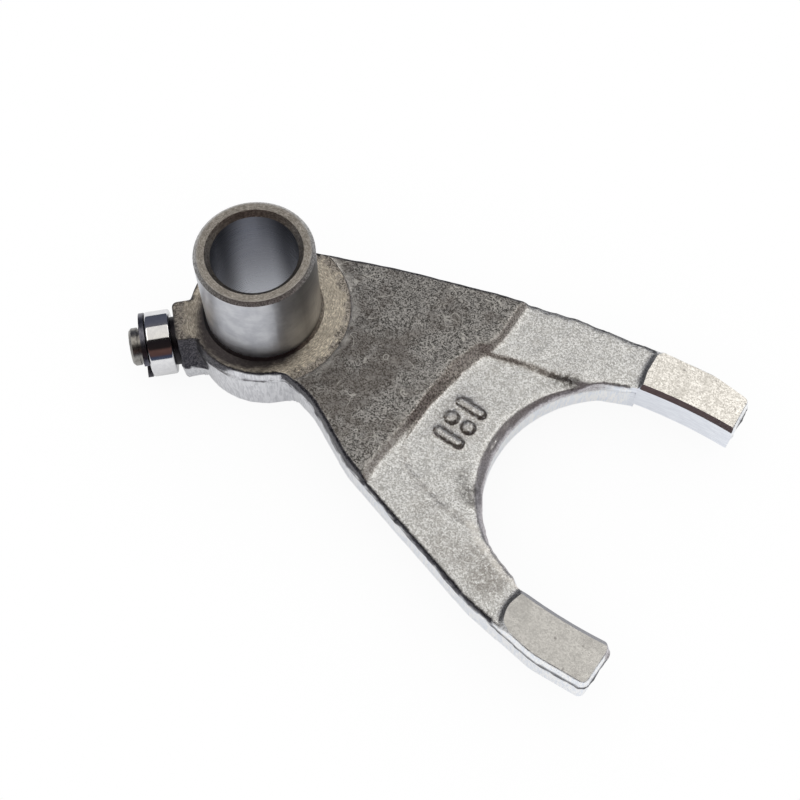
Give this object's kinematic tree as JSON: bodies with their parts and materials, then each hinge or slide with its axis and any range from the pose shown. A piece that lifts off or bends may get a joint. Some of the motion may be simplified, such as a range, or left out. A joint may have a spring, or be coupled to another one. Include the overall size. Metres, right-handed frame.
{
  "type": "transmission shift fork",
  "caption": "Forged steel shift fork with a bored rail barrel, a claw with ground pads and a follower pin that carries a roller.",
  "frame": {"origin": "where the rail bore's axis meets the middle plane of the two pads", "axes": "+Z along the rail bore, up the barrel; +X from the bore toward the middle of the claw; +Y toward the far arm"},
  "size_m": [0.0824, 0.0488, 0.0254],
  "materials": {
    "forged_steel": "forged and shot-blasted skin with machined barrel and ground pads",
    "roller_steel": "polished hardened steel",
    "clip_steel": "black oxide spring steel"
  },
  "bodies": {
    "fork": {"fork": "forged_steel", "clip": "clip_steel"},
    "roller": {"roller": "roller_steel"}
  },
  "joints": [
    {"name": "roller_spin", "type": "hinge", "parent": "fork", "child": "roller", "pos_m": [-0.01157, -0.01024, -0.00245], "axis": [-0.749, -0.6626, 0], "continuous": true}
  ]
}
